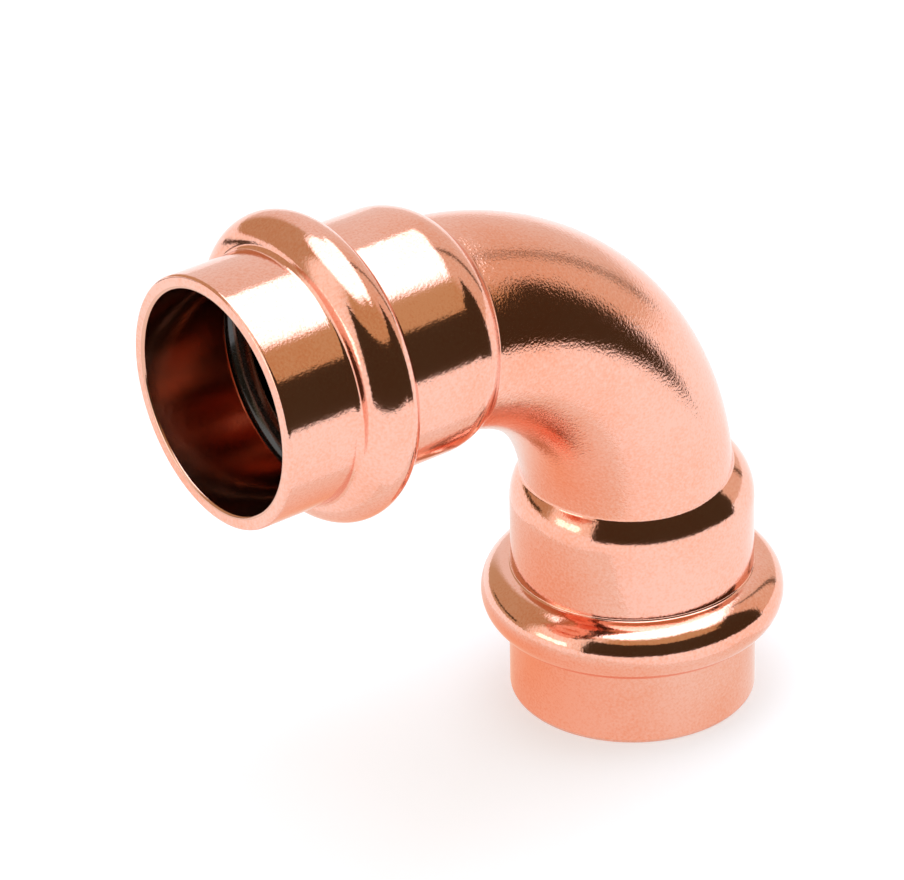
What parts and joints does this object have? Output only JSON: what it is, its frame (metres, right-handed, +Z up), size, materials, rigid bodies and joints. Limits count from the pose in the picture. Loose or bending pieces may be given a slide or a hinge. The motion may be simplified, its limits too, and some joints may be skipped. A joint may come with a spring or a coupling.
{
  "type": "pipe elbow",
  "caption": "Right-angle copper press elbow: equal beaded sockets with captive seal rings, joined by a smooth swept bend.",
  "frame": {"origin": "centre of the lower socket's mouth, on its end face", "axes": "+Z runs up the lower socket's axis, away from its mouth; the side socket opens along -X, with its axis in the XZ plane; Y is across the elbow"},
  "size_m": [0.0665, 0.0312, 0.0665],
  "materials": {
    "copper_body": "semi-polished bare copper",
    "seal_rubber": "matt black EPDM"
  },
  "bodies": {
    "root": {"elbow_body": "copper_body", "lower_o_ring": "seal_rubber", "side_o_ring": "seal_rubber"}
  },
  "joints": []
}
